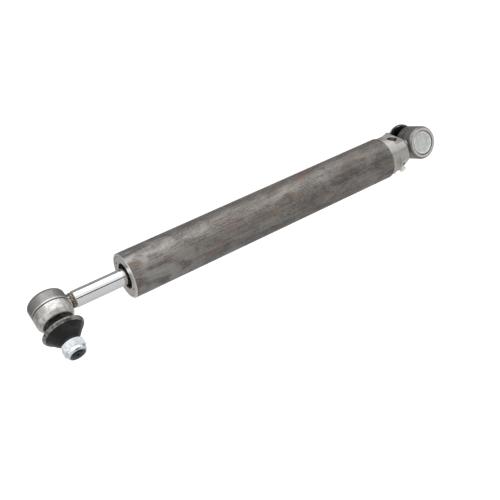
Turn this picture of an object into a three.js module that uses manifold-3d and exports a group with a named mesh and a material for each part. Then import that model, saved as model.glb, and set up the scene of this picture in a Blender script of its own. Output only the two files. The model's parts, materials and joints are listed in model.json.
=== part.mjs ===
// Double-acting steering cylinder, 40 mm bore and 20 mm rod, with a ball joint at each end.
// Millimetres. The origin is the centre of the base-end ball. +X runs along the cylinder from the
// base-end ball to the rod-end ball, and -Y is the way the base-end stud points. A roll is an angle
// about X, counted from +Z towards +Y. The rod is drawn part extended.
import * as THREE from 'three';
import { mergeVertices } from 'three/addons/utils/BufferGeometryUtils.js';
import Module from 'manifold-3d';

const wasm = await Module();
wasm.setup();

// ---------------------------------------------------------------- driving dimensions
const GAP = 0.3;                    // clearance between pieces that touch on the real cylinder
const OVERLAP = 1;                  // how far a cutting or joining tool runs past a face

const TUBE_BACK = 63.5;             // base-end rim of the outer tube, from the base ball
const TUBE_LENGTH = 385;
const TUBE_FRONT = TUBE_BACK + TUBE_LENGTH;
const ROD_BALL = 540;               // rod-end ball, from the base ball
const TUBE_R = 27.5;
const TUBE_BORE_R = 24.5;
const BORE_R = 20;                  // working bore, in the inner tube
const INNER_TUBE_R = 22.5;
const ROD_R = 10;
const TUBE_FIT_R = TUBE_BORE_R - GAP;
const BORE_FIT_R = BORE_R - GAP;
const ROD_CLEAR_R = ROD_R + 0.4;
const O_RING_GROOVE_WIDTH = 3.4;
const BORE_GROOVE_FLOOR_R = 17.9;

const CAP_R = 26;
const CAP_CHAMFER = 2.4;
const CAP_BACK = 34.2;              // rear face of the end cap
const OUTER_SPIGOT_END = TUBE_BACK + 16;
const INNER_SPIGOT_END = OUTER_SPIGOT_END + 16;
const SHANK_HOLE_DEPTH = 14;
const SHANK_HOLE_R = 9;
const PORT_X = 43.9;
const PORT_FACE = 21;               // height of a port's flat above the cylinder axis
const PORT_R = 7;
const PORT_DEPTH = 9;
const PORT_FLOOR = PORT_FACE - PORT_DEPTH;
const UPPER_PORT_ROLL = 18;
const LOWER_PORT_ROLL = 145;

const GLAND_SHOULDER = TUBE_FRONT - 40;
const GLAND_END = GLAND_SHOULDER - 22;
const COUNTERBORE_R = 15.5;
const COUNTERBORE_FLOOR = TUBE_FRONT - 8;
const WIPER_START = COUNTERBORE_FLOOR - 7.5;
const ROD_GROOVE_R = 14;            // floor of the rod seal's and the wiper's grooves
const SPANNER_HOLE_PITCH_R = 19.8;
const SPANNER_HOLE_ROLL = -45;
const SNAP_RING_ROLL = 75;          // middle of the snap ring's opening

const PISTON_BACK = 155.5;
const PISTON_FRONT = PISTON_BACK + 30;
const PISTON_SEAT_R = 8;            // rod under the piston
const PISTON_THREAD_R = 7;
const PISTON_NUT_LENGTH = 10;
const CHROME_END = TUBE_FRONT + 64.5;   // end of the full rod diameter
const PILOT_R = 5;
const PILOT_LENGTH = 10;
const SHANK_START = CHROME_END + 4.1;

// Ball joints: lengths are along the stud, from the ball centre.
const BALL_R = 12;
const SHELL_R = 14;                 // outside of the spherical bearing shells
const HEAD_R = 22;
const HEAD_CLOSED_END = -14.8;
const HEAD_MOUTH_END = 18.4;
const MOUTH_R = 17.4;               // wide enough for the stud's neck at full swing both ways
const PLATE_LEDGE = -12;
const PLATE_R = 16.1;
const TAPER_START = 24;
const TAPER_LENGTH = 19;
const TAPER_START_R = 9;
const TAPER_END_R = TAPER_START_R - TAPER_LENGTH / 20;   // 1 in 10 on the diameter
const THREAD_R = 7.8;
const STUD_TIP = 62.8;
const BOOT_START = 28.4;
const BOOT_LIP_R = 22.4;
const BOOT_RING_END = 33;
const BOOT_CONE_R = 21.4;           // the boot's cone starts behind its ring
const NUT_START = 48.2;
const NUT_HEX_END = NUT_START + 9.7;
const NUT_END = STUD_TIP - GAP;
const NYLON_SEAT_START = NUT_HEX_END + 1;
const NYLON_SEAT_END = NUT_END - 0.9;
const NYLON_SEAT_R = 10.1;
const BASE_STUD_ROLL = -90;
const ROD_STUD_ROLL = 133;

// Sides of a round piece, by its size and how much of it shows.
const FINE = 36;
const MEDIUM = 28;
const COARSE = 20;
const SMALL = 16;
const DRILLED = 8;

// ---------------------------------------------------------------- materials
function metal(colour, roughness) {
  return new THREE.MeshStandardMaterial({ color: colour, roughness, metalness: 1 });
}

function polymer(colour, roughness) {
  return new THREE.MeshStandardMaterial({ color: colour, roughness, metalness: 0 });
}

const millScaleSteel = metal(0x6f6b66, 0.55);
const turnedSteel = metal(0xa8a5a0, 0.4);
const forgedSteel = metal(0x8c8a86, 0.5);
const hardChrome = metal(0xd8dadc, 0.12);
const heatedSteel = metal(0x4f4640, 0.6);
const zincPlate = metal(0xc4c8cc, 0.3);
const paleZinc = metal(0xb2bab3, 0.35);
const springSteel = metal(0x3a3b3d, 0.4);
const bushBronze = metal(0x9a7648, 0.4);
const blackRubber = polymer(0x161616, 0.7);
const sealRubber = polymer(0x1d1d1f, 0.6);
const sealPolyurethane = polymer(0x3c5a72, 0.5);
const ringComposite = polymer(0x8a6a3c, 0.6);
const shellPolymer = polymer(0xcfcabc, 0.5);
const nylonBlue = polymer(0x1b2440, 0.5);
const paleCapPolymer = polymer(0xc9c9c5, 0.5);

// ---------------------------------------------------------------- shape helpers
// A closed outline of [along X, radius] points turned about the X axis. A radius that is only
// rounding error counts as on the axis.
function revolve(outline, segments) {
  const roundingError = 1e-9;
  let area = 0;
  outline.forEach(([x, r], i) => {
    const [nextX, nextR] = outline[(i + 1) % outline.length];
    area += r * nextX - nextR * x;
  });
  const ordered = area > 0 ? outline : [...outline].reverse();
  const points = ordered.map(([x, r]) => new THREE.Vector2(r < roundingError ? 0 : r, x));
  const onAxis = points[0].x === 0 && points[points.length - 1].x === 0;
  if (!onAxis) points.push(points[0].clone());
  return new THREE.LatheGeometry(points, segments).rotateZ(-Math.PI / 2);
}

// Points on an arc about the ball centre, between two angles from the +X axis.
function arc(radius, fromDegrees, toDegrees, steps) {
  const points = [];
  for (let i = 0; i <= steps; i += 1) {
    const angle = THREE.MathUtils.degToRad(fromDegrees + ((toDegrees - fromDegrees) * i) / steps);
    points.push([radius * Math.cos(angle), radius * Math.sin(angle)]);
  }
  return points;
}

function sleeve(start, end, innerR, outerR, segments) {
  return revolve([[start, innerR], [start, outerR], [end, outerR], [end, innerR]], segments);
}

// A groove is { start, width, floorR }. These are its four outline points in a surface.
function groovePoints({ start, width, floorR }, surfaceR) {
  const end = start + width;
  return [[start, surfaceR], [start, floorR], [end, floorR], [end, surfaceR]];
}

// A plain ring that fills a groove up to the surface facing it, less the gap all round.
function ringIn({ start, width, floorR }, facingR, segments) {
  const innerR = Math.min(floorR, facingR) + GAP;
  const outerR = Math.max(floorR, facingR) - GAP;
  return sleeve(start + GAP, start + width - GAP, innerR, outerR, segments);
}

// An O-ring of hexagonal section, midway between a groove's floor and the surface facing it.
function oRingIn({ start, width, floorR }, facingR, segments) {
  const centreX = start + width / 2;
  const centreR = (floorR + facingR) / 2;
  const sectionR = Math.abs(facingR - floorR) / 2 - GAP;
  const section = [];
  for (let i = 0; i < 6; i += 1) {
    const angle = (i * Math.PI) / 3;
    section.push([centreX + sectionR * Math.cos(angle), centreR + sectionR * Math.sin(angle)]);
  }
  return revolve(section, segments);
}

// A cylinder between two points, for drilling and joining.
function bar(from, to, radius, segments) {
  const start = new THREE.Vector3(...from);
  const run = new THREE.Vector3(...to).sub(start);
  const geometry = new THREE.CylinderGeometry(radius, radius, run.length(), segments);
  const turn = new THREE.Quaternion().setFromUnitVectors(new THREE.Vector3(0, 1, 0), run.clone().normalize());
  const middle = start.addScaledVector(run, 0.5);
  return geometry.applyQuaternion(turn).translate(middle.x, middle.y, middle.z);
}

// A cylinder along the X axis.
function axialBar(start, end, radius, segments) {
  return bar([start, 0, 0], [end, 0, 0], radius, segments);
}

// A point at a height above the cylinder axis, in the direction of a roll.
function rolled(x, height, rollDegrees) {
  const roll = THREE.MathUtils.degToRad(rollDegrees);
  return [x, height * Math.sin(roll), height * Math.cos(roll)];
}

// Turns a piece drawn standing on +Z to a roll.
function turnToRoll(geometry, rollDegrees) {
  return geometry.rotateX(-THREE.MathUtils.degToRad(rollDegrees));
}

function toSolid(geometry) {
  const bare = new THREE.BufferGeometry();
  bare.setAttribute('position', geometry.getAttribute('position').clone());
  bare.setIndex(geometry.getIndex());
  const merged = mergeVertices(bare, 1e-4);
  const index = merged.getIndex().array;
  const triVerts = [];
  for (let i = 0; i < index.length; i += 3) {
    const [a, b, c] = [index[i], index[i + 1], index[i + 2]];
    if (a !== b && b !== c && c !== a) triVerts.push(a, b, c);
  }
  const mesh = new wasm.Mesh({
    numProp: 3,
    vertProperties: new Float32Array(merged.getAttribute('position').array),
    triVerts: new Uint32Array(triVerts),
  });
  return new wasm.Manifold(mesh);
}

function toGeometry(solid) {
  const mesh = solid.getMesh();
  const geometry = new THREE.BufferGeometry();
  geometry.setAttribute('position', new THREE.BufferAttribute(mesh.vertProperties, 3));
  geometry.setIndex(new THREE.BufferAttribute(mesh.triVerts, 1));
  geometry.computeVertexNormals();
  return geometry;
}

function joined(...geometries) {
  return toGeometry(geometries.map(toSolid).reduce((whole, next) => whole.add(next)));
}

function cut(geometry, ...tools) {
  return toGeometry(tools.map(toSolid).reduce((whole, tool) => whole.subtract(tool), toSolid(geometry)));
}

const cylinder = new THREE.Group();

function addTo(group, name, geometry, material) {
  const mesh = new THREE.Mesh(geometry, material);
  mesh.name = name;
  group.add(mesh);
}

// ---------------------------------------------------------------- tubes
function outerTube() {
  const chamfer = 0.8;
  return revolve([
    [TUBE_BACK, TUBE_BORE_R], [TUBE_BACK, TUBE_R - chamfer], [TUBE_BACK + chamfer, TUBE_R],
    [TUBE_FRONT - chamfer, TUBE_R], [TUBE_FRONT, TUBE_R - chamfer], [TUBE_FRONT, TUBE_BORE_R],
  ], FINE);
}

// The inner tube is the working bore. Oil for the rod side runs outside it and in by four cross holes.
function innerTube() {
  const holeX = GLAND_END - 2.5;
  const holeR = 1.8;
  const reach = INNER_TUBE_R + OVERLAP;
  const tube = sleeve(OUTER_SPIGOT_END + GAP, GLAND_SHOULDER - GAP, BORE_R, INNER_TUBE_R, MEDIUM);
  const across = bar([holeX, -reach, 0], [holeX, reach, 0], holeR, DRILLED);
  const upright = bar([holeX, 0, -reach], [holeX, 0, reach], holeR, DRILLED);
  return cut(tube, across, upright);
}

addTo(cylinder, 'barrel_tube', outerTube(), millScaleSteel);
addTo(cylinder, 'inner_tube', innerTube(), turnedSteel);

// ---------------------------------------------------------------- end cap
const CAP_TUBE_GROOVE = { start: TUBE_BACK + 8.5, width: O_RING_GROOVE_WIDTH, floorR: 22.7 };
const CAP_BORE_GROOVE = {
  start: OUTER_SPIGOT_END + 6.5, width: O_RING_GROOVE_WIDTH, floorR: BORE_GROOVE_FLOOR_R,
};

// A milled flat at a port, ending in a half round towards the tube.
function portFlat(roll) {
  const endR = 11.5;
  const length = 30;
  const width = 34;
  const height = 10;
  const slot = new THREE.BoxGeometry(length, width, height);
  slot.translate(PORT_X + endR / 2 - length / 2, 0, PORT_FACE + height / 2);
  const face = rolled(PORT_X, PORT_FACE, roll);
  const roundEnd = bar(face, rolled(PORT_X, PORT_FACE + height, roll), endR, COARSE);
  return [turnToRoll(slot, roll), roundEnd];
}

function portHole(roll) {
  const chamfer = 1;
  const proud = 0.2;
  const floor = rolled(PORT_X, PORT_FLOOR, roll);
  const hole = bar(floor, rolled(PORT_X, PORT_FACE + OVERLAP, roll), PORT_R, SMALL);
  const mouth = new THREE.CylinderGeometry(PORT_R + chamfer + proud, PORT_R, chamfer + proud, SMALL);
  mouth.rotateX(Math.PI / 2).translate(PORT_X, 0, PORT_FACE + (proud - chamfer) / 2);
  return [hole, turnToRoll(mouth, roll)];
}

// From the upper port a drilling slants to the axis, then the chamber drilling opens into the bore.
function boreDrillings() {
  const meetingX = 64.5;
  const slant = bar(rolled(47, 13, UPPER_PORT_ROLL), [meetingX, 0, 0], 2, DRILLED);
  const chamber = axialBar(meetingX - 4.5, INNER_SPIGOT_END + OVERLAP, 4, 12);
  return [slant, chamber];
}

// From the lower port a drilling runs under the O-ring groove to the space between the two tubes.
function annulusDrilling() {
  return bar(rolled(46, 11.5, LOWER_PORT_ROLL), rolled(80, 22.3, LOWER_PORT_ROLL), 1.4, DRILLED);
}

function endCap() {
  const reliefStart = OUTER_SPIGOT_END - 2.7;
  const reliefR = 21.6;
  const flangeFront = TUBE_BACK - GAP;
  const body = revolve([
    [CAP_BACK, 0], [CAP_BACK, CAP_R - CAP_CHAMFER], [CAP_BACK + CAP_CHAMFER, CAP_R],
    [flangeFront, CAP_R], [flangeFront, TUBE_FIT_R],
    ...groovePoints(CAP_TUBE_GROOVE, TUBE_FIT_R),
    [reliefStart, TUBE_FIT_R], [reliefStart, reliefR],
    [OUTER_SPIGOT_END, reliefR], [OUTER_SPIGOT_END, BORE_FIT_R],
    ...groovePoints(CAP_BORE_GROOVE, BORE_FIT_R),
    [INNER_SPIGOT_END, BORE_FIT_R], [INNER_SPIGOT_END, 0],
  ], MEDIUM);
  const shankHole = axialBar(CAP_BACK - OVERLAP, CAP_BACK + SHANK_HOLE_DEPTH, SHANK_HOLE_R, SMALL);
  const ports = [UPPER_PORT_ROLL, LOWER_PORT_ROLL].flatMap((roll) => [...portFlat(roll), ...portHole(roll)]);
  return cut(body, shankHole, ...boreDrillings(), annulusDrilling(), ...ports);
}

// A push-in shipping plug with a grip stem, in the lower port.
function portPlug() {
  const bottom = PORT_FLOOR + 1;
  const shoulder = PORT_FACE - 1.4;
  const top = PORT_FACE + 7;
  const stemR = 4.2;
  const plug = revolve([
    [bottom, 0], [bottom, 5.4], [bottom + 2, 6.3], [shoulder, 6.5],
    [shoulder, stemR], [top - 1, stemR + 0.5], [top, stemR], [top, 0],
  ], SMALL);
  return turnToRoll(plug.rotateY(-Math.PI / 2), LOWER_PORT_ROLL).translate(PORT_X, 0, 0);
}

addTo(cylinder, 'end_cap', endCap(), turnedSteel);
addTo(cylinder, 'lower_port_plug', portPlug(), paleCapPolymer);
addTo(cylinder, 'cap_tube_o_ring', oRingIn(CAP_TUBE_GROOVE, TUBE_BORE_R, MEDIUM), sealRubber);
addTo(cylinder, 'cap_bore_o_ring', oRingIn(CAP_BORE_GROOVE, BORE_R, MEDIUM), sealRubber);

// ---------------------------------------------------------------- gland
const GLAND_BORE_GROOVE = {
  start: GLAND_END + 9.5, width: O_RING_GROOVE_WIDTH, floorR: BORE_GROOVE_FLOOR_R,
};
const GLAND_TUBE_GROOVE = { start: GLAND_SHOULDER + 3.5, width: O_RING_GROOVE_WIDTH, floorR: 22.2 };
const BUSH_GROOVE = { start: GLAND_END + 2, width: 18, floorR: 12 };
const ROD_SEAL_GROOVE = { start: GLAND_SHOULDER + 0.5, width: 7, floorR: ROD_GROOVE_R };
const SNAP_RING_GROOVE = { start: COUNTERBORE_FLOOR + 1.3, width: 2, floorR: 16.6 };

function spannerHole(roll) {
  const back = rolled(TUBE_FRONT - 6, SPANNER_HOLE_PITCH_R, roll);
  const front = rolled(TUBE_FRONT + OVERLAP, SPANNER_HOLE_PITCH_R, roll);
  return bar(back, front, 1.9, DRILLED);
}

// The outline goes forward along the outside, then back along the inside.
function gland() {
  const body = revolve([
    [GLAND_END, ROD_CLEAR_R], [GLAND_END, BORE_FIT_R],
    ...groovePoints(GLAND_BORE_GROOVE, BORE_FIT_R),
    [GLAND_SHOULDER, BORE_FIT_R], [GLAND_SHOULDER, TUBE_FIT_R],
    ...groovePoints(GLAND_TUBE_GROOVE, TUBE_FIT_R),
    [TUBE_FRONT, TUBE_FIT_R], [TUBE_FRONT, COUNTERBORE_R],
    ...groovePoints(SNAP_RING_GROOVE, COUNTERBORE_R).reverse(),
    [COUNTERBORE_FLOOR, COUNTERBORE_R], [COUNTERBORE_FLOOR, ROD_GROOVE_R],
    [WIPER_START, ROD_GROOVE_R], [WIPER_START, ROD_CLEAR_R],
    ...groovePoints(ROD_SEAL_GROOVE, ROD_CLEAR_R).reverse(),
    ...groovePoints(BUSH_GROOVE, ROD_CLEAR_R).reverse(),
  ], MEDIUM);
  return cut(body, spannerHole(SPANNER_HOLE_ROLL), spannerHole(SPANNER_HOLE_ROLL + 180));
}

// An internal circlip with two eyes, sprung into the gland's counterbore.
function snapRing() {
  const back = SNAP_RING_GROOVE.start + GAP;
  const front = SNAP_RING_GROOVE.start + SNAP_RING_GROOVE.width - GAP;
  const innerR = 13.6;
  const eyePitchR = 13.4;
  const eyeRolls = [-13, 13].map((side) => SNAP_RING_ROLL + side);
  const atEyes = (from, to, radius, sides) => eyeRolls.map(
    (roll) => bar(rolled(from, eyePitchR, roll), rolled(to, eyePitchR, roll), radius, sides),
  );
  const ring = sleeve(back, front, innerR, SNAP_RING_GROOVE.floorR - 0.4, MEDIUM);
  const opening = new THREE.BoxGeometry(4, 5, 8).translate((back + front) / 2, 0, innerR + 1.4);
  const eyeHoles = atEyes(back - OVERLAP, front + OVERLAP, 0.8, DRILLED);
  return cut(joined(ring, ...atEyes(back, front, 2, 12)), turnToRoll(opening, SNAP_RING_ROLL), ...eyeHoles);
}

// The wiper's lip stands into the counterbore and leans onto the rod.
function wiper() {
  const outerR = ROD_GROOVE_R - GAP;
  const bodyFront = COUNTERBORE_FLOOR - GAP;
  const lipFront = COUNTERBORE_FLOOR + 1.1;
  return revolve([
    [WIPER_START + GAP, ROD_R + GAP], [WIPER_START + GAP, outerR], [bodyFront, outerR],
    [bodyFront, outerR - 1.3], [lipFront, outerR - 2.1], [lipFront, ROD_R + GAP],
    [WIPER_START + 4, ROD_R + 1.2],
  ], COARSE);
}

addTo(cylinder, 'gland', gland(), turnedSteel);
addTo(cylinder, 'gland_tube_o_ring', oRingIn(GLAND_TUBE_GROOVE, TUBE_BORE_R, MEDIUM), sealRubber);
addTo(cylinder, 'gland_bore_o_ring', oRingIn(GLAND_BORE_GROOVE, BORE_R, MEDIUM), sealRubber);
addTo(cylinder, 'rod_bush', ringIn(BUSH_GROOVE, ROD_R, COARSE), bushBronze);
addTo(cylinder, 'rod_seal', ringIn(ROD_SEAL_GROOVE, ROD_R, COARSE), sealPolyurethane);
addTo(cylinder, 'rod_wiper', wiper(), sealRubber);
addTo(cylinder, 'gland_snap_ring', snapRing(), springSteel);

// ---------------------------------------------------------------- piston and rod
const WEAR_RING_WIDTH = 5;
const WEAR_RING_FLOOR_R = 17.7;
const SEAL_SPLIT_R = 16.85;         // between the energiser and the seal outside it
const REAR_WEAR_GROOVE = { start: PISTON_BACK + 2.5, width: WEAR_RING_WIDTH, floorR: WEAR_RING_FLOOR_R };
const SEAL_GROOVE = { start: PISTON_BACK + 12, width: 6, floorR: 14.2 };
const FRONT_WEAR_GROOVE = { start: PISTON_FRONT - 7.5, width: WEAR_RING_WIDTH, floorR: WEAR_RING_FLOOR_R };
const PISTON_BORE_GROOVE = { start: PISTON_BACK + 13, width: 3, floorR: ROD_R };

function pistonRod() {
  const back = PISTON_BACK - PISTON_NUT_LENGTH - 0.7;
  const threadEnd = PISTON_BACK + 0.5;
  const chamfer = 1.2;
  const pilotEnd = CHROME_END + PILOT_LENGTH;
  return revolve([
    [back, 0], [back, PISTON_THREAD_R - 0.8], [back + 0.8, PISTON_THREAD_R], [threadEnd, PISTON_THREAD_R],
    [threadEnd + 1, PISTON_SEAT_R], [PISTON_FRONT, PISTON_SEAT_R], [PISTON_FRONT, ROD_R],
    [CHROME_END - chamfer, ROD_R], [CHROME_END, ROD_R - chamfer], [CHROME_END, PILOT_R],
    [pilotEnd, PILOT_R], [pilotEnd, 0],
  ], MEDIUM);
}

function piston() {
  const outerR = BORE_R - 0.5;
  const boreR = PISTON_SEAT_R + GAP;
  const front = PISTON_FRONT - GAP;
  const grooves = [REAR_WEAR_GROOVE, SEAL_GROOVE, FRONT_WEAR_GROOVE];
  return revolve([
    [PISTON_BACK, boreR], [PISTON_BACK, outerR],
    ...grooves.flatMap((groove) => groovePoints(groove, outerR)),
    [front, outerR], [front, boreR],
    ...groovePoints(PISTON_BORE_GROOVE, boreR).reverse(),
  ], COARSE);
}

function hexagon(acrossFlats, holeR) {
  const cornerR = acrossFlats / Math.sqrt(3);
  const corners = [0, 1, 2, 3, 4, 5].map((i) => {
    const angle = (i * Math.PI) / 3;
    return new THREE.Vector2(cornerR * Math.cos(angle), cornerR * Math.sin(angle));
  });
  const shape = new THREE.Shape(corners);
  const hole = new THREE.Path();
  hole.absarc(0, 0, holeR, 0, 2 * Math.PI, true);
  shape.holes.push(hole);
  return shape;
}

function hexPrism(start, end, acrossFlats, holeR) {
  const options = { depth: end - start, bevelEnabled: false, curveSegments: 10 };
  const prism = new THREE.ExtrudeGeometry(hexagon(acrossFlats, holeR), options);
  return prism.rotateY(Math.PI / 2).translate(start, 0, 0);
}

function pistonNut() {
  return hexPrism(PISTON_BACK - PISTON_NUT_LENGTH, PISTON_BACK - GAP, 22, PISTON_THREAD_R + GAP);
}

// The seal and its energiser share a groove, one outside the other.
function pistonSeal() {
  return ringIn({ ...SEAL_GROOVE, floorR: SEAL_SPLIT_R - GAP / 2 }, BORE_R, MEDIUM);
}

function sealEnergiser() {
  return ringIn(SEAL_GROOVE, SEAL_SPLIT_R + GAP / 2, COARSE);
}

function rodWeld() {
  const back = CHROME_END + GAP;
  const front = SHANK_START - GAP;
  const crownR = 9.2;
  const boreR = PILOT_R + GAP;
  return revolve([
    [back, boreR], [back, 8.5], [back + 0.9, crownR], [front - 1.5, crownR], [front, 8.4], [front, boreR],
  ], COARSE);
}

addTo(cylinder, 'piston_rod', pistonRod(), hardChrome);
addTo(cylinder, 'piston', piston(), turnedSteel);
addTo(cylinder, 'piston_nut', pistonNut(), zincPlate);
addTo(cylinder, 'piston_bore_o_ring', oRingIn(PISTON_BORE_GROOVE, PISTON_SEAT_R, COARSE), sealRubber);
addTo(cylinder, 'piston_seal', pistonSeal(), sealPolyurethane);
addTo(cylinder, 'piston_seal_energiser', sealEnergiser(), sealRubber);
addTo(cylinder, 'piston_wear_ring_rear', ringIn(REAR_WEAR_GROOVE, BORE_R, MEDIUM), ringComposite);
addTo(cylinder, 'piston_wear_ring_front', ringIn(FRONT_WEAR_GROOVE, BORE_R, MEDIUM), ringComposite);
addTo(cylinder, 'rod_weld', rodWeld(), heatedSteel);

// ---------------------------------------------------------------- ball joints
// A joint is drawn about its ball centre, with the stud along +X and the shank along +Y.
const NECK_START = 18;              // inside the head's wall, from the ball centre

function headRing() {
  const seatR = SHELL_R + GAP;
  const plateFitR = PLATE_R + GAP;
  const grooveMiddle = 1.6;
  return revolve([
    [HEAD_CLOSED_END, plateFitR], [HEAD_CLOSED_END, 19.4], [HEAD_CLOSED_END + 1.6, 21.2],
    [HEAD_CLOSED_END + 3.4, HEAD_R],
    [grooveMiddle - 0.7, HEAD_R], [grooveMiddle - 0.3, HEAD_R - 0.5],
    [grooveMiddle + 0.3, HEAD_R - 0.5], [grooveMiddle + 0.7, HEAD_R],
    [HEAD_MOUTH_END - 3.1, HEAD_R], [HEAD_MOUTH_END, 19.5], [HEAD_MOUTH_END, MOUTH_R],
    ...arc(seatR, 48, 90, 4), [PLATE_LEDGE, seatR], [PLATE_LEDGE, plateFitR],
  ], MEDIUM);
}

// The base head screws into the end cap by its shank.
function baseHead() {
  const neckEnd = CAP_BACK - GAP;
  const threadEnd = CAP_BACK + SHANK_HOLE_DEPTH - 1;
  const neck = bar([0, NECK_START, 0], [0, neckEnd, 0], 10.5, COARSE);
  const thread = bar([0, neckEnd - OVERLAP, 0], [0, threadEnd, 0], SHANK_HOLE_R - GAP, SMALL);
  return joined(headRing(), neck, thread);
}

// The rod head is welded to the rod, which has a pilot in a hole in the shank.
function rodHead() {
  const neckEnd = ROD_BALL - SHANK_START;
  const holeFloor = ROD_BALL - CHROME_END - PILOT_LENGTH - GAP;
  const neck = bar([0, NECK_START, 0], [0, neckEnd, 0], 8.9, COARSE);
  const pilotHole = bar([0, holeFloor, 0], [0, neckEnd + OVERLAP, 0], PILOT_R + GAP, SMALL);
  return cut(joined(headRing(), neck), pilotHole);
}

// The stud-side shell is a spherical zone, free to follow the ball in the spherical seat.
function outerShell() {
  return revolve([...arc(BALL_R + GAP, 52, 84, 3), ...arc(SHELL_R, 84, 52, 3)], COARSE);
}

// The closed-side shell carries the ball, with a grease hole at its pole and a step for the preload ring.
function innerShell() {
  const stepR = 12.4;
  const stepX = PLATE_LEDGE + 2.5;
  return revolve([
    ...arc(BALL_R + GAP, 106, 159, 5), [PLATE_LEDGE, 4.4], [PLATE_LEDGE, stepR], [stepX, stepR],
    [stepX, SHELL_R], [-3.4, SHELL_R],
  ], COARSE);
}

function preloadRing() {
  return sleeve(PLATE_LEDGE, PLATE_LEDGE + 2.2, 12.7, SHELL_R, COARSE);
}

// The plate is rolled into the head and dished in the middle.
function closingPlate() {
  const inside = PLATE_LEDGE - GAP;
  const outside = inside - 2;
  const dish = outside + 0.5;
  return revolve([
    [inside, 0], [inside, PLATE_R], [outside, PLATE_R], [outside, 14.2], [dish, 13.8], [dish, 0],
  ], COARSE);
}

function ballStud() {
  const taperEnd = TAPER_START + TAPER_LENGTH;
  const tipChamfer = 1.4;
  return revolve([
    ...arc(BALL_R, 180, 33, 9), [15.5, 6.5], [21.5, 8.6],
    [TAPER_START, TAPER_START_R], [taperEnd, TAPER_END_R], [taperEnd + 2, THREAD_R],
    [STUD_TIP - tipChamfer, THREAD_R], [STUD_TIP, THREAD_R - tipChamfer], [STUD_TIP, 0],
  ], COARSE);
}

// An open rubber cone: its wide lip faces the head and its narrow end grips the stud.
function boot() {
  const narrowEnd = NUT_START - 0.4;
  return revolve([
    [BOOT_START, BOOT_LIP_R - 1.6], [BOOT_START, BOOT_LIP_R], [BOOT_RING_END + GAP, BOOT_CONE_R],
    [46.6, 11.4], [narrowEnd, 10.8], [narrowEnd, 8.6], [43.6, 8.6], [42.4, 10.2],
    [BOOT_START + 2, BOOT_LIP_R - 3],
  ], MEDIUM);
}

// A rounded band that holds the boot's lip.
function bootRing() {
  const start = BOOT_START + 0.2;
  return revolve([
    [start, BOOT_LIP_R + GAP], [start, 24.1], [start + 0.5, 24.6], [start + 1.8, 24.5],
    [BOOT_RING_END, BOOT_CONE_R + 0.9], [BOOT_RING_END, BOOT_CONE_R + GAP + 0.1],
  ], MEDIUM);
}

// A hexagon with a round collar that holds a nylon ring.
function lockNut() {
  const boreR = THREAD_R + GAP;
  const collarStart = NUT_HEX_END - OVERLAP;
  const lipR = 9.1;
  const prism = hexPrism(NUT_START, NUT_HEX_END, 24, boreR);
  const collar = revolve([
    [collarStart, boreR], [collarStart, 11.6], [NUT_END - 1.9, 11.4], [NUT_END, 10.2], [NUT_END, lipR],
    [NYLON_SEAT_END, lipR], [NYLON_SEAT_END, NYLON_SEAT_R],
    [NYLON_SEAT_START, NYLON_SEAT_R], [NYLON_SEAT_START, boreR],
  ], COARSE);
  return joined(prism, collar);
}

function nylonRing() {
  const seat = { start: NYLON_SEAT_START, width: NYLON_SEAT_END - NYLON_SEAT_START, floorR: NYLON_SEAT_R };
  return ringIn(seat, THREAD_R, SMALL);
}

function jointGroup(ballX, studRoll, shankSign) {
  const group = new THREE.Group();
  const stud = new THREE.Vector3(...rolled(0, 1, studRoll));
  const shank = new THREE.Vector3(shankSign, 0, 0);
  const turn = new THREE.Matrix4().makeBasis(stud, shank, stud.clone().cross(shank));
  group.quaternion.setFromRotationMatrix(turn);
  group.position.set(ballX, 0, 0);
  cylinder.add(group);
  return group;
}

function addJoint(side, ballX, studRoll, shankSign, head) {
  const group = jointGroup(ballX, studRoll, shankSign);
  addTo(group, `${side}_joint_head`, head, forgedSteel);
  addTo(group, `${side}_inner_shell`, innerShell(), shellPolymer);
  addTo(group, `${side}_preload_ring`, preloadRing(), sealRubber);
  addTo(group, `${side}_closing_plate`, closingPlate(), paleZinc);
  addTo(group, `${side}_outer_shell`, outerShell(), shellPolymer);
  addTo(group, `${side}_ball_stud`, ballStud(), turnedSteel);
  addTo(group, `${side}_boot`, boot(), blackRubber);
  addTo(group, `${side}_boot_ring`, bootRing(), springSteel);
  addTo(group, `${side}_lock_nut`, lockNut(), zincPlate);
  addTo(group, `${side}_nut_nylon_ring`, nylonRing(), nylonBlue);
}

addJoint('base', 0, BASE_STUD_ROLL, 1, baseHead());
addJoint('rod', ROD_BALL, ROD_STUD_ROLL, -1, rodHead());

export default cylinder;
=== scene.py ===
"""The looks of a steering cylinder with a ball joint at each end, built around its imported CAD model.

Lengths are metres. Every detailed piece is drawn in the frame of its own turning axis, with t along
that axis and r out from it, then placed in the row frame. The mesh attribute "local" keeps the drawn
coordinates, so that turning marks follow the piece whichever way it lies.
"""
import json
import math

import bmesh
import bpy
from mathutils import Matrix, Vector


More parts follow.
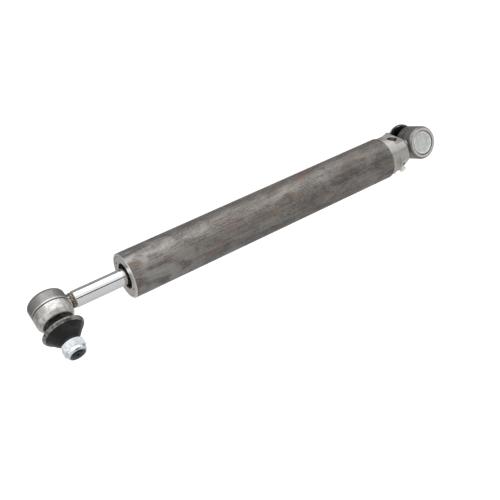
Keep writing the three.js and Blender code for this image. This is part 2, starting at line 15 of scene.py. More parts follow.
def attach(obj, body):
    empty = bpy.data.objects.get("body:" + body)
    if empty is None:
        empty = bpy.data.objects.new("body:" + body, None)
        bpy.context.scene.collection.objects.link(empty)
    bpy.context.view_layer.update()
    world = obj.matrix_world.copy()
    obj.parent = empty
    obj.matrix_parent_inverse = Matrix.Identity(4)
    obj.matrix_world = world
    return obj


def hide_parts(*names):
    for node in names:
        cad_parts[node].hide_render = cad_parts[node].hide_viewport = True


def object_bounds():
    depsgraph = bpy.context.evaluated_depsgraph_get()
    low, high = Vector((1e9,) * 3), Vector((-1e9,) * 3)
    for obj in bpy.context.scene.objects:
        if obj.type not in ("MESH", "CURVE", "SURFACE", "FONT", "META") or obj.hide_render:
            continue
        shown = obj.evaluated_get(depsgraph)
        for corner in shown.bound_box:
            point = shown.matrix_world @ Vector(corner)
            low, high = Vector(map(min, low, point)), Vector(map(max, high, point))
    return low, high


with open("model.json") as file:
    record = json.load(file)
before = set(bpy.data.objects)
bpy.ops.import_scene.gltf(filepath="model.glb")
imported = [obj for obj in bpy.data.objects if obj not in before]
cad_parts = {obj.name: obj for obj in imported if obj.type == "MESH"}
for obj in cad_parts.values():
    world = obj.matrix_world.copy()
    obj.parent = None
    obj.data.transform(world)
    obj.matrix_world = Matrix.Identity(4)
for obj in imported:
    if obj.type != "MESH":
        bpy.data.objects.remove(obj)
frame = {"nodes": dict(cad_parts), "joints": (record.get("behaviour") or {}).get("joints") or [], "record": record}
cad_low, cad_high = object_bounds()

MM = 0.001
FINE = 160                      # sides of a large turned piece
MEDIUM = 96
SMALL = 48
FILLET_STEPS = 4
SHARP_ANGLE = math.radians(32)
HAIR = 0.01 * MM                # keeps a drawn surface inside the CAD model's box
GROOVE_T = 1.6 * MM             # groove round a joint's head
MOUTH_R = 17.4 * MM

record = frame["record"]
BODY_OF = {node: body for body, nodes in record["behaviour"]["bodies"].items() for node in nodes}
SLOT_OF = {row["node"]: row["material_slot"] for row in record["subparts"]}
MOUNT = {mount["name"]: mount for mount in record["mounts"]}
JOINT = {joint["name"]: joint for joint in frame["joints"]}


# ---------------------------------------------------------------- places
def joint_place(side, shank_sign):
    """The frame of a ball joint: t along its stud, the second axis along its shank."""
    spin = JOINT[f"{side}_joint_spin"]
    stud = Vector(spin["axis"]).normalized()
    shank = Vector((shank_sign, 0, 0))
    turn = Matrix((stud, shank, stud.cross(shank))).transposed().to_4x4()
    return Matrix.Translation(spin["pos_m"]) @ turn


BARREL = Matrix.Identity(4)
PLACE = {"base": joint_place("base", 1), "rod": joint_place("rod", -1)}


def extent(node, place=BARREL):
    """How far a CAD node reaches along its turning axis and out from it: start, end, inner and outer r."""
    inverse = place.inverted()
    points = [inverse @ vertex.co for vertex in frame["nodes"][node].data.vertices]
    lengths = [point.x for point in points]
    radii = [math.hypot(point.y, point.z) for point in points]
    return min(lengths), max(lengths), min(radii), max(radii)


# ---------------------------------------------------------------- mesh helpers
def rounded(outline):
    """Outline points (t, r) or (t, r, fillet), with each fillet turned into an arc."""
    points = []
    count = len(outline)
    for i, (t, r, *fillet) in enumerate(outline):
        corner = Vector((t, r))
        if not fillet:
            points.append(corner)
            continue
        before = Vector(outline[i - 1][:2]) - corner
        after = Vector(outline[(i + 1) % count][:2]) - corner
        half = before.angle(after) / 2
        setback = min(fillet[0] / math.tan(half), 0.45 * before.length, 0.45 * after.length)
        radius = setback * math.tan(half)
        centre = corner + (before.normalized() + after.normalized()).normalized() * radius / math.sin(half)
        start = corner + before.normalized() * setback - centre
        sweep = start.angle_signed(corner + after.normalized() * setback - centre)
        for step in range(FILLET_STEPS + 1):
            arm = start.copy()
            arm.rotate(Matrix.Rotation(-sweep * step / FILLET_STEPS, 2))
            points.append(centre + arm)
    return [(point.x, point.y) for point in points]


def arc(radius, start, end, steps=12):
    """Points on an arc about the ball centre, between two angles in degrees from the t axis."""
    angles = [math.radians(start + (end - start) * i / steps) for i in range(steps + 1)]
    return [(radius * math.cos(angle), radius * math.sin(angle)) for angle in angles]


def smooth(mesh):
    mesh.shade_smooth()
    mesh.set_sharp_from_angle(angle=SHARP_ANGLE)


def lathe(name, outline, sides, wobble=None):
    """A closed outline turned about the t axis. wobble(t, angle) scales r, for hand-made surfaces."""
    points = rounded(outline)
    area = sum(a[1] * b[0] - b[1] * a[0] for a, b in zip(points, points[1:] + points[:1]))
    if area < 0:
        points.reverse()
    shape = bmesh.new()
    rings = []
    for t, r in points:
        if r < 1e-7:
            rings.append([shape.verts.new((t, 0, 0))])
            continue
        ring = []
        for i in range(sides):
            angle = 2 * math.pi * i / sides
            scaled = r * (wobble(t, angle) if wobble else 1)
            ring.append(shape.verts.new((t, scaled * math.sin(angle), scaled * math.cos(angle))))
        rings.append(ring)
    for a, b in zip(rings, rings[1:] + rings[:1]):
        for i in range(sides):
            j = (i + 1) % sides
            if len(a) > 1 and len(b) > 1:
                shape.faces.new((a[i], a[j], b[j], b[i]))
            elif len(a) > 1:
                shape.faces.new((a[i], a[j], b[0]))
            elif len(b) > 1:
                shape.faces.new((a[0], b[j], b[i]))
    bmesh.ops.recalc_face_normals(shape, faces=shape.faces)
    mesh = bpy.data.meshes.new(name)
    shape.to_mesh(mesh)
    shape.free()
    smooth(mesh)
    piece = bpy.data.objects.new(name, mesh)
    bpy.context.scene.collection.objects.link(piece)
    return piece


def turned_to(piece, roll, at=(0, 0, 0)):
    """Stands a piece drawn along t up in the direction of a roll about X, from +Z towards +Y."""
    stand = Matrix.Rotation(-roll, 4, "X") @ Matrix.Rotation(-math.pi / 2, 4, "Y")
    piece.data.transform(Matrix.Translation(at) @ stand)
    return piece


def prism(name, corners, start, end):
    """A straight prism along t, from corners (across, up)."""
    shape = bmesh.new()
    low = [shape.verts.new((start, y, z)) for y, z in corners]
    high = [shape.verts.new((end, y, z)) for y, z in corners]
    shape.faces.new(low)
    shape.faces.new(list(reversed(high)))
    for i in range(len(corners)):
        j = (i + 1) % len(corners)
        shape.faces.new((low[i], high[i], high[j], low[j]))
    bmesh.ops.recalc_face_normals(shape, faces=shape.faces)
    mesh = bpy.data.meshes.new(name)
    shape.to_mesh(mesh)
    shape.free()
    piece = bpy.data.objects.new(name, mesh)
    bpy.context.scene.collection.objects.link(piece)
    return piece


def applied(piece):
    """Makes a piece's modifiers part of its mesh."""
    evaluated = piece.evaluated_get(bpy.context.evaluated_depsgraph_get())
    mesh = bpy.data.meshes.new_from_object(evaluated)
    piece.modifiers.clear()
    old, piece.data = piece.data, mesh
    bpy.data.meshes.remove(old)
    return piece


def boolean(piece, operation, *tools):
    """Cuts, joins or intersects a piece with tools, which are used up."""
    for tool in tools:
        modifier = piece.modifiers.new("boolean", "BOOLEAN")
        modifier.object = tool
        modifier.operation = operation
        modifier.solver = "EXACT"
        applied(piece)
        bpy.data.objects.remove(tool)
    smooth(piece.data)
    return piece


def softened(piece, width, angle=40):
    """Rounds the edges sharper than an angle."""
    modifier = piece.modifiers.new("bevel", "BEVEL")
    modifier.width = width
    modifier.segments = 2
    modifier.limit_method = "ANGLE"
    modifier.angle_limit = math.radians(angle)
    modifier.use_clamp_overlap = True
    applied(piece)
    smooth(piece.data)
    return piece


def stands_for(piece, node, place=BARREL):
    """Puts a drawn piece in the row frame and on the body of the CAD node it replaces, and hides that node.

    Its normals are weighted by face area, so that flats stay flat beside their rounded edges.
    """
    weighting = piece.modifiers.new("weighting", "WEIGHTED_NORMAL")
    weighting.keep_sharp = True
    mesh = applied(piece).data
    attribute = mesh.attributes.new("local", "FLOAT_VECTOR", "POINT")
    for vertex, value in zip(mesh.vertices, attribute.data):
        value.vector = vertex.co
    mesh.transform(place)
    mesh.update()
    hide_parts(node)
    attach(piece, BODY_OF[node])
    return piece


# ---------------------------------------------------------------- material helpers
class Shader:
    """One procedural material. Values that are the same all over go on the shader's own sockets."""

    def __init__(self, name, **values):
        self.material = bpy.data.materials.new(name)
        self.material.use_nodes = True
        self.nodes = self.material.node_tree.nodes
        self.links = self.material.node_tree.links
        self.surface = self.nodes["Principled BSDF"]
        for socket, value in values.items():
            self.surface.inputs[socket.replace("_", " ").title()].default_value = value

    def put(self, socket, value):
        """A number or colour on a socket, or a link to it."""
        if isinstance(value, bpy.types.NodeSocket):
            self.links.new(value, socket)
        elif isinstance(value, tuple) and socket.type == "RGBA":
            socket.default_value = (*value, 1)
        else:
            socket.default_value = value

    def local(self, scale=(1, 1, 1)):
        """The drawn coordinates, stretched."""
        source = self.nodes.new("ShaderNodeAttribute")
        source.attribute_name = "local"
        return self.scaled(source.outputs["Vector"], scale)

    def around(self, scale=(1, 1, 1)):
        """Row-frame coordinates, for carried-over CAD nodes."""
        return self.scaled(self.nodes.new("ShaderNodeTexCoord").outputs["Object"], scale)

    def scaled(self, vector, scale):
        mapping = self.nodes.new("ShaderNodeMapping")
        self.put(mapping.inputs["Vector"], vector)
        mapping.inputs["Scale"].default_value = scale
        return mapping.outputs["Vector"]

    def turned(self, t_scale, r_scale):
        """A coordinate that changes only along the turning axis and out from it, for turning marks."""
        split = self.nodes.new("ShaderNodeSeparateXYZ")
        self.put(split.inputs[0], self.local())
        across = self.math("POWER", split.outputs["Y"], 2)
        radius = self.math("SQRT", self.math("ADD", across, self.math("POWER", split.outputs["Z"], 2)))
        joined = self.nodes.new("ShaderNodeCombineXYZ")
        self.put(joined.inputs["X"], self.math("MULTIPLY", split.outputs["X"], t_scale))
        self.put(joined.inputs["Y"], self.math("MULTIPLY", radius, r_scale))
        return joined.outputs[0]

    def along(self):
        """The distance t along the turning axis."""
        split = self.nodes.new("ShaderNodeSeparateXYZ")
        self.put(split.inputs[0], self.local())
        return split.outputs["X"]

    def math(self, operation, a, b=0.0):
        node = self.nodes.new("ShaderNodeMath")
        node.operation = operation
        self.put(node.inputs[0], a)
        self.put(node.inputs[1], b)
        return node.outputs[0]

    def noise(self, vector, detail=4.0, roughness=0.55, distortion=0.0):
        node = self.nodes.new("ShaderNodeTexNoise")
        self.put(node.inputs["Vector"], vector)
        node.inputs["Scale"].default_value = 1
        node.inputs["Detail"].default_value = detail
        node.inputs["Roughness"].default_value = roughness
        node.inputs["Distortion"].default_value = distortion
        return node.outputs["Fac"]

    def between(self, value, low, high, to_low=0.0, to_high=1.0):
        """Maps low..high to to_low..to_high, smoothly and no further."""
        node = self.nodes.new("ShaderNodeMapRange")
        node.interpolation_type = "SMOOTHSTEP"
        self.put(node.inputs["Value"], value)
        node.inputs["From Min"].default_value = low
        node.inputs["From Max"].default_value = high
        node.inputs["To Min"].default_value = to_low
        node.inputs["To Max"].default_value = to_high
        return node.outputs["Result"]

    def mix(self, share, a, b):
        node = self.nodes.new("ShaderNodeMix")
        node.data_type = "RGBA"
        self.put(node.inputs[0], share)
        self.put(node.inputs[6], a)
        self.put(node.inputs[7], b)
        return node.outputs[2]

    def bump(self, height, depth, strength=1.0, under=None):
        node = self.nodes.new("ShaderNodeBump")
        node.inputs["Strength"].default_value = strength
        node.inputs["Distance"].default_value = depth
        self.put(node.inputs["Height"], height)
        if under is not None:
            self.put(node.inputs["Normal"], under)
        return node.outputs["Normal"]

    def done(self, colour, roughness, normal):
        self.put(self.surface.inputs["Base Color"], colour)
        self.put(self.surface.inputs["Roughness"], roughness)
        self.put(self.surface.inputs["Normal"], normal)
        return self.material


# ---------------------------------------------------------------- materials
def mill_scale(tube_front):
    """Drawn tube under mill scale: fine streaks along it, rusty stains, and paler patches near the gland, which
    are a painted highlight for the sheen near the tube's front.
    """
    m = Shader("mill_scale", metallic=0.75)
    streaks = m.noise(m.local((11, 620, 620)), detail=5)
    scratches = m.noise(m.local((30, 1900, 1900)), detail=3)
    clouds = m.noise(m.local((34, 62, 62)), detail=6, distortion=0.8)
    speckle = m.noise(m.local((380, 520, 520)), detail=4)
    streaked = m.math("ADD", m.math("MULTIPLY", streaks, 0.32), m.math("MULTIPLY", clouds, 0.38))
    tone = m.math("ADD", streaked, m.math("MULTIPLY", speckle, 0.30))
    steel = m.mix(m.between(tone, 0.38, 0.62), (0.088, 0.080, 0.073), (0.215, 0.203, 0.190))
    stains = m.noise(m.local((26, 85, 85)), detail=7, distortion=1.2)
    rusty = m.mix(m.between(stains, 0.50, 0.68, 0, 0.55), steel, (0.175, 0.112, 0.078))
    near_front = m.between(m.along(), tube_front - 0.11, tube_front - 0.012)
    # Paler patches near the gland: a painted highlight for the sheen near the tube's front.
    front_sheen_mask = m.math("MULTIPLY", near_front, m.between(clouds, 0.44, 0.62, 0, 0.6))
    colour = m.mix(front_sheen_mask, rusty, (0.29, 0.285, 0.275))
    dots = m.between(m.noise(m.local((700, 900, 900)), detail=2), 0.66, 0.76, 0, 0.5)
    dotted = m.mix(dots, colour, (0.03, 0.03, 0.03))
    relief = m.bump(speckle, 0.03 * MM, 0.5, m.bump(scratches, 0.012 * MM, 0.7))
    return m.done(dotted, m.between(tone, 0.3, 0.7, 0.56, 0.42), relief)


def bright_edge():
    """A freshly cut chamfer or end face."""
    m = Shader("bright_edge", metallic=1.0)
    marks = m.noise(m.turned(5200, 5200), detail=2)
    colour = m.mix(marks, (0.50, 0.485, 0.46), (0.72, 0.70, 0.67))
    return m.done(colour, m.between(marks, 0.3, 0.7, 0.25, 0.4), m.bump(marks, 0.006 * MM, 0.6))


def turned_steel(name, dark, light, brown_share):
    """Satin turned steel: fine rings from the tool and faint brown smudges from handling."""
    m = Shader(name, metallic=0.9)
    rings = m.noise(m.turned(3300, 3300), detail=3)
    clouds = m.noise(m.local((70, 70, 70)), detail=5, distortion=0.7)
    steel = m.mix(m.between(rings, 0.3, 0.7), dark, light)
    smudged = m.mix(m.between(clouds, 0.5, 0.7, 0, brown_share), steel, (0.22, 0.17, 0.13))
    roughness = m.between(clouds, 0.3, 0.7, 0.3, 0.46)
    return m.done(smudged, roughness, m.bump(rings, 0.008 * MM, 0.7))


def forged_steel(name, ground_dark, ground_light):
    """Forged skin on the closed half, ground skin from the groove to the mouth, a painted highlight band just
    above the groove, and the groove painted near black as painted shade.
    """
    m = Shader(name, metallic=0.85)
    grain = m.noise(m.local((1300, 1300, 1300)), detail=4)
    patches = m.noise(m.local((140, 180, 180)), detail=6, distortion=0.6)
    clouds = m.noise(m.local((60, 60, 60)), detail=5, distortion=0.6)
    skin = m.mix(m.between(grain, 0.3, 0.7), (0.135, 0.133, 0.128), (0.245, 0.24, 0.232))
    ground = m.mix(m.between(patches, 0.34, 0.66), ground_dark, ground_light)
    side = m.mix(m.between(m.along(), GROOVE_T - 0.2 * MM, GROOVE_T + 0.2 * MM), skin, ground)
    smudged = m.mix(m.between(clouds, 0.5, 0.72, 0, 0.5), side, (0.12, 0.095, 0.075))
    from_groove = m.math("ABSOLUTE", m.math("SUBTRACT", m.along(), GROOVE_T))
    # A lighter band just above the groove: painted highlight.
    from_highlight_line = m.math("ABSOLUTE", m.math("SUBTRACT", m.along(), GROOVE_T - 1.6 * MM))
    groove_highlight_band = m.mix(m.between(from_highlight_line, 0.5 * MM, 1.4 * MM, 0.55, 0), smudged, ground_light)
    # The groove painted near black: painted shade in the recess.
    colour = m.mix(m.between(from_groove, 0.35 * MM, 0.7 * MM), (0.03, 0.027, 0.024), groove_highlight_band)
    relief = m.bump(grain, 0.03 * MM, 0.6, m.bump(patches, 0.02 * MM, 0.5))
    return m.done(colour, m.between(patches, 0.3, 0.7, 0.46, 0.34), relief)


def hard_chrome():
    """Ground and plated rod: mirror bright, with very fine polishing rings."""
    m = Shader("hard_chrome", metallic=1.0)
    rings = m.noise(m.turned(6000, 0), detail=2)
    haze = m.noise(m.local((40, 90, 90)), detail=4)
    colour = m.mix(haze, (0.68, 0.685, 0.695), (0.77, 0.775, 0.785))
    return m.done(colour, m.between(haze, 0.3, 0.7, 0.07, 0.15), m.bump(rings, 0.0015 * MM, 0.4))


def weld_metal():
    """Weld bead with brown and straw heat tint."""
    m = Shader("weld_metal", metallic=0.75)
    tint = m.noise(m.local((420, 260, 260)), detail=5, distortion=1.0)
    colour = m.mix(m.between(tint, 0.35, 0.66), (0.035, 0.026, 0.021), (0.32, 0.255, 0.18))
    return m.done(colour, m.between(tint, 0.3, 0.7, 0.58, 0.38), m.bump(tint, 0.08 * MM, 0.6))


def plated(name, dark, light, low_roughness, ring_scale):
    """Zinc plate, cloudy, over turned or pressed steel."""
    m = Shader(name, metallic=0.95)
    clouds = m.noise(m.local((170, 170, 170)), detail=5, distortion=0.8)
    rings = m.noise(m.turned(ring_scale, ring_scale), detail=3)
    colour = m.mix(m.between(clouds, 0.3, 0.7), dark, light)
    roughness = m.between(clouds, 0.3, 0.7, low_roughness, low_roughness + 0.14)
    return m.done(colour, roughness, m.bump(rings, 0.012 * MM, 0.6))


def rubber(name, colour, dust):
    """Moulded rubber with a fine skin and a little dust."""
    m = Shader(name, metallic=0.0)
    m.surface.inputs["Specular IOR Level"].default_value = 0.2
    m.surface.inputs["Sheen Weight"].default_value = 0.03
    m.surface.inputs["Sheen Roughness"].default_value = 0.4
    skin = m.noise(m.local((2400, 2400, 2400)), detail=3)
    clouds = m.noise(m.local((90, 90, 90)), detail=5, distortion=0.5)
    dusty = m.mix(m.between(clouds, 0.45, 0.75, 0, 0.8), colour, dust)
    return m.done(dusty, m.between(clouds, 0.3, 0.7, 0.3, 0.44), m.bump(skin, 0.03 * MM, 0.5))


def polymer(name, dark, light, roughness):
    """Moulded plastic with slight flow marks."""
    m = Shader(name, metallic=0.0)
    flow = m.noise(m.local((260, 260, 260)), detail=5, distortion=1.0)
    grain = m.noise(m.local((2600, 2600, 2600)), detail=2)
    colour = m.mix(m.between(flow, 0.3, 0.7), dark, light)
    mottled = m.between(flow, 0.3, 0.7, roughness, roughness + 0.15)
    return m.done(colour, mottled, m.bump(grain, 0.02 * MM, 0.4))


def grease_and_shade(name, dark, light):
    """Dark steel under grease. The colours given make it real grease in a head's mouth, and near-black painted
    shade inside the ports and the gland.
    """
    m = Shader(name, metallic=0.35)
    m.surface.inputs["Coat Weight"].default_value = 0.5
    m.surface.inputs["Coat Roughness"].default_value = 0.25
    blobs = m.noise(m.local((330, 330, 330)), detail=6, distortion=1.4)
    colour = m.mix(m.between(blobs, 0.36, 0.66), dark, light)
    return m.done(colour, m.between(blobs, 0.3, 0.7, 0.3, 0.55), m.bump(blobs, 0.25 * MM, 0.8))


def carried_over(slot, values, metallic):
    """A procedural finish for the inner CAD nodes of one slot."""
    m = Shader(f"inner_{slot}", metallic=metallic)
    fine = m.noise(m.around((1600, 1600, 1600)), detail=3)
    clouds = m.noise(m.around((120, 120, 120)), detail=4, distortion=0.6)
    dark = tuple(0.75 * value for value in values)
    light = tuple(min(1.0, 1.15 * value) for value in values)
    colour = m.mix(m.between(clouds, 0.3, 0.7), dark, light)
    return m.done(colour, m.between(fine, 0.3, 0.7, 0.34, 0.55), m.bump(fine, 0.01 * MM, 0.5))


def face_materials(piece, chosen, *materials):
    """Gives a piece its materials. chosen(centre, normal) is the index for a face, in drawn coordinates."""
    for material in materials:
        piece.data.materials.append(material)
    for face in piece.data.polygons:
        face.material_index = chosen(face.center, face.normal)
    return piece


# ---------------------------------------------------------------- barrel
def build_tube():
    start, end, inner, outer = extent("barrel_tube")
    outer -= HAIR
    chamfer = 0.6 * MM
    edge = 0.15 * MM
    tube = lathe("outer_tube", [
        (start, inner), (start, outer - chamfer, edge), (start + chamfer, outer, edge),
        (end - chamfer, outer, edge), (end, outer - chamfer, edge), (end, inner),
    ], FINE)
    side = (start + chamfer, end - chamfer)
    face_materials(tube, lambda centre, normal: 0 if side[0] < centre.x < side[1] else 1,
                   mill_scale(end), bright_edge())
    return stands_for(tube, "barrel_tube")


def port_roll(name):
    normal = MOUNT[name]["axis"]
    return math.atan2(normal[1], normal[2])


def port_face_height(name):
    return Vector(MOUNT[name]["pos_m"]).dot(Vector(MOUNT[name]["axis"]))


def port_flat_tool(name):
    """What the mill removes: a wide flat that is open towards the rear, with a round bay at its front."""
    bay_r, half_width, rear = 11.5 * MM, 17 * MM, -30 * MM
    height = port_face_height(name)
    bay_half_angle = math.radians(60)
    turns = [bay_half_angle * (i / 12 - 1) for i in range(25)]
    bay = [(bay_r * math.cos(turn), bay_r * math.sin(turn)) for turn in turns]
    edge = bay[0][0]
    outline = [(rear, -half_width), (edge, -half_width), *bay, (edge, half_width), (rear, half_width)]
    flat = prism("flat", outline, height, height + 10 * MM)
    on_its_side = Matrix(((0, 1, 0, 0), (0, 0, 1, 0), (1, 0, 0, 0), (0, 0, 0, 1)))
    stand = Matrix.Rotation(-port_roll(name), 4, "X") @ Matrix.Translation((MOUNT[name]["pos_m"][0], 0, 0))
    flat.data.transform(stand @ on_its_side)
    return flat


def port_hole_tool(name):
    """A threaded hole with a chamfered mouth. The thread is drawn as rings."""
    height = port_face_height(name)
    radius, depth, chamfer, pitch = 7.4 * MM, 9 * MM, 0.4 * MM, 1.5 * MM
    outline = [(height - depth, 0), (height - depth, radius - 0.8 * MM)]
    for turn in range(4):
        root = height - depth + 1.6 * MM + turn * pitch
        outline += [(root, radius - 0.8 * MM), (root + pitch / 2, radius)]
    outline += [
        (height - chamfer, radius - 0.3 * MM), (height + 0.2 * MM, radius + chamfer), (height + 0.2 * MM, 0),
    ]
    tool = lathe("port_tool", outline, MEDIUM)
    return turned_to(tool, port_roll(name), (MOUNT[name]["pos_m"][0], 0, 0))


def build_end_cap():
    start, end, _, outer = extent("end_cap")
    tube_start, _, tube_inner, _ = extent("barrel_tube")
    bore_fit = extent("inner_tube")[2] - 0.3 * MM
    shoulder = tube_start - 0.3 * MM
    step = tube_start + 16 * MM
    hole_r, hole_end = 9 * MM, start + 14 * MM
    cap = lathe("cap_body", [
        (hole_end, 0), (hole_end, hole_r), (start, hole_r), (start, outer - 2.4 * MM, 0.8 * MM),
        (start + 2.4 * MM, outer, 0.8 * MM), (shoulder, outer), (shoulder, tube_inner - 0.3 * MM),
        (tube_start + 8 * MM, tube_inner - 0.3 * MM), (tube_start + 8 * MM, tube_inner - 2 * MM),
        (tube_start + 12 * MM, tube_inner - 2 * MM), (step, bore_fit + 1.5 * MM), (step, bore_fit - 2.5 * MM),
        (end, bore_fit - 2.5 * MM), (end, 0),
    ], FINE)
    for name in ("upper_port", "lower_port"):
        boolean(cap, "DIFFERENCE", port_flat_tool(name), port_hole_tool(name))
    softened(cap, 0.25 * MM, 50)
    face_materials(
        cap, cap_face,
        turned_steel("cap_steel", (0.36, 0.35, 0.33), (0.50, 0.49, 0.47), 0.55), bright_edge(),
        turned_steel("milled_flat", (0.42, 0.41, 0.39), (0.56, 0.55, 0.52), 0.2),
        # The port walls are painted near black: painted shade inside the holes.
        grease_and_shade("port_wall_painted_shade", (0.008, 0.007, 0.006), (0.09, 0.08, 0.065)),
    )
    return stands_for(cap, "end_cap")


CAP_START, _, _, CAP_OUTER = extent("end_cap")


def cap_face(centre, normal):
    """Which finish a face of the end cap has: side, chamfer, milled flat or port wall."""
    for name in ("upper_port", "lower_port"):
        direction = Vector(MOUNT[name]["axis"])
        height = centre.dot(direction)
        beside = (centre - direction * height - Vector((MOUNT[name]["pos_m"][0], 0, 0))).length
        if height > 11 * MM and beside < 7.6 * MM and height < port_face_height(name) - 0.3 * MM:
            return 3
        if abs(height - port_face_height(name)) < 0.2 * MM and normal.dot(direction) > 0.9:
            return 2
    if centre.x < CAP_START + 2.6 * MM and math.hypot(centre.y, centre.z) > CAP_OUTER - 2.6 * MM:
        return 1
    return 0


def build_port_plug():
    """A push-in plug with a waisted grip stem and a dished end."""
    direction = Vector(MOUNT["lower_port"]["axis"])
    face = port_face_height("lower_port")
    top = max(vertex.co.dot(direction) for vertex in frame["nodes"]["lower_port_plug"].data.vertices)
    stem_r = 4.2 * MM
    plug = lathe("shipping_plug", [
        (face - 8 * MM, 0), (face - 8 * MM, 5.4 * MM, 0.5 * MM), (face - 6 * MM, 6.1 * MM, 0.4 * MM),
        (face - 1.4 * MM, 6.3 * MM, 0.3 * MM), (face - 1.4 * MM, stem_r, 0.4 * MM),
        (face + 2 * MM, stem_r - 0.1 * MM), (top - 1 * MM, stem_r + 0.4 * MM, 0.3 * MM),
        (top, stem_r, 0.3 * MM), (top, stem_r - 1.1 * MM, 0.2 * MM),
        (top - 1.2 * MM, stem_r - 1.6 * MM, 0.3 * MM), (top - 1.2 * MM, 0),
    ], SMALL)
    turned_to(plug, port_roll("lower_port"), (MOUNT["lower_port"]["pos_m"][0], 0, 0))
    plug.data.materials.append(polymer("pale_polythene", (0.46, 0.46, 0.44), (0.62, 0.62, 0.60), 0.35))
    return stands_for(plug, "lower_port_plug")


def build_gland():
    start, end, _, outer = extent("gland")
    rod_r = extent("piston_rod")[3]
    clear = rod_r + 0.4 * MM
    counterbore, floor = 15.5 * MM, end - 8 * MM
    groove = extent("gland_snap_ring")
    groove_r = 16.6 * MM
    spigot = extent("inner_tube")[2] - 0.3 * MM
    body = lathe("gland_body", [
        (start, clear), (start, spigot - 2 * MM), (end - 40 * MM, spigot - 2 * MM),
        (end - 40 * MM, outer - 1.9 * MM), (end - 33 * MM, outer - 1.9 * MM), (end - 33 * MM, outer),
        (end, outer, 0.3 * MM), (end, counterbore + 0.5 * MM, 0.1 * MM),
        (end - 0.5 * MM, counterbore, 0.1 * MM),
        (groove[1] + 0.3 * MM, counterbore), (groove[1] + 0.3 * MM, groove_r),
        (groove[0] - 0.3 * MM, groove_r), (groove[0] - 0.3 * MM, counterbore),
        (floor, counterbore), (floor, 14 * MM), (floor - 7.5 * MM, 14 * MM), (floor - 7.5 * MM, clear),
        (end - 32.5 * MM, clear), (end - 32.5 * MM, 14 * MM), (end - 39.5 * MM, 14 * MM),
        (end - 39.5 * MM, clear), (end - 42 * MM, clear), (end - 42 * MM, 12 * MM),
        (end - 60 * MM, 12 * MM), (end - 60 * MM, clear),
    ], FINE)
    boolean(body, "DIFFERENCE", *[spanner_hole(end, turn) for turn in (0, math.pi)])
    bore_start = end - 0.4 * MM
    # The counterbore and the bore behind it are painted near black: painted shade inside the gland.
    bore_shade_r = 17 * MM

    def finish(centre, normal):
        return 1 if centre.x < bore_start and math.hypot(centre.y, centre.z) < bore_shade_r else 0

    face_materials(
        body, finish,
        turned_steel("gland_steel", (0.36, 0.35, 0.33), (0.52, 0.50, 0.47), 0.4),
        grease_and_shade("gland_bore_painted_shade", (0.010, 0.009, 0.008), (0.13, 0.115, 0.09)),
    )
    return stands_for(body, "gland")


def spanner_hole(face, turn):
    """A blind hole in the gland's face with a countersunk mouth."""
    radius, depth = 1.9 * MM, 6 * MM
    hole = lathe("spanner_hole", [
        (face - depth, 0), (face - depth + 1 * MM, radius), (face - 0.3 * MM, radius),
        (face + 0.1 * MM, radius + 0.4 * MM), (face + 1 * MM, radius + 0.4 * MM), (face + 1 * MM, 0),
    ], SMALL)
    roll = math.radians(-45) + turn
    pitch_r = 19.8 * MM
    hole.data.transform(Matrix.Translation((0, pitch_r * math.sin(roll), pitch_r * math.cos(roll))))
    return hole


def build_snap_ring():
    """A circlip with rounded edges and a drilled eye at each side of its opening."""
    start, end, _, outer = extent("gland_snap_ring")
    inner, pitch_r, middle = 13.6 * MM, 13.4 * MM, math.radians(75)
    edge = 0.15 * MM
    ring = lathe("snap_ring", [
        (start, inner, edge), (start, outer, edge), (end, outer, edge), (end, inner, edge),
    ], MEDIUM)
    rolls = [middle - math.radians(13), middle + math.radians(13)]

    def at_eye(roll, radius, proud):
        eye = lathe("eye", [
            (start - proud, 0), (start - proud, radius), (end + proud, radius), (end + proud, 0),
        ], SMALL)
        eye.data.transform(Matrix.Translation((0, pitch_r * math.sin(roll), pitch_r * math.cos(roll))))
        return eye

    half_gap = 2.5 * MM
    opening = prism("opening", [
        (-half_gap, 11 * MM), (half_gap, 11 * MM), (half_gap, 19 * MM), (-half_gap, 19 * MM),
    ], start - MM, end + MM)
    opening.data.transform(Matrix.Rotation(-middle, 4, "X"))
    boolean(ring, "UNION", *[at_eye(roll, 2 * MM, 0) for roll in rolls])
    boolean(ring, "DIFFERENCE", opening, *[at_eye(roll, 0.8 * MM, MM) for roll in rolls])
    ring.data.materials.append(plated("phosphated", (0.035, 0.035, 0.038), (0.10, 0.10, 0.105), 0.35, 900))
    return stands_for(ring, "gland_snap_ring")


def build_wiper():
    start, end, inner, outer = extent("rod_wiper")
    body_front = end - 1.4 * MM
    wiper = lathe("wiper_lip", [
        (start, inner + 0.1 * MM), (start, outer, 0.3 * MM), (body_front, outer, 0.3 * MM),
        (body_front, outer - 1.3 * MM, 0.3 * MM), (end, outer - 2.1 * MM, 0.4 * MM),
        (end, inner, 0.15 * MM), (start + 3.7 * MM, inner + 0.9 * MM),
    ], MEDIUM)
    wiper.data.materials.append(rubber("wiper_rubber", (0.014, 0.014, 0.015), (0.05, 0.05, 0.05)))
    return stands_for(wiper, "rod_wiper")


# ---------------------------------------------------------------- rod
def build_rod():
    start, pilot_end, _, outer = extent("piston_rod")
    seat_end = extent("piston")[1] + 0.3 * MM
    chrome_end = extent("rod_weld")[0] - 0.3 * MM
    chamfer = 1.2 * MM
    rod = lathe("chromed_rod", [
        (start, 0), (start, 6.2 * MM), (start + 0.8 * MM, 7 * MM), (seat_end - 29.5 * MM, 7 * MM),
        (seat_end - 28.5 * MM, 8 * MM), (seat_end, 8 * MM), (seat_end, outer),
        (chrome_end - chamfer, outer, 0.3 * MM), (chrome_end, outer - chamfer, 0.2 * MM),
        (chrome_end, 5 * MM), (pilot_end, 5 * MM), (pilot_end, 0),
    ], FINE)
    face_materials(rod, lambda centre, normal: 0 if seat_end < centre.x < chrome_end - 0.8 * chamfer else 1,
                   hard_chrome(), bright_edge())
    return stands_for(rod, "piston_rod")


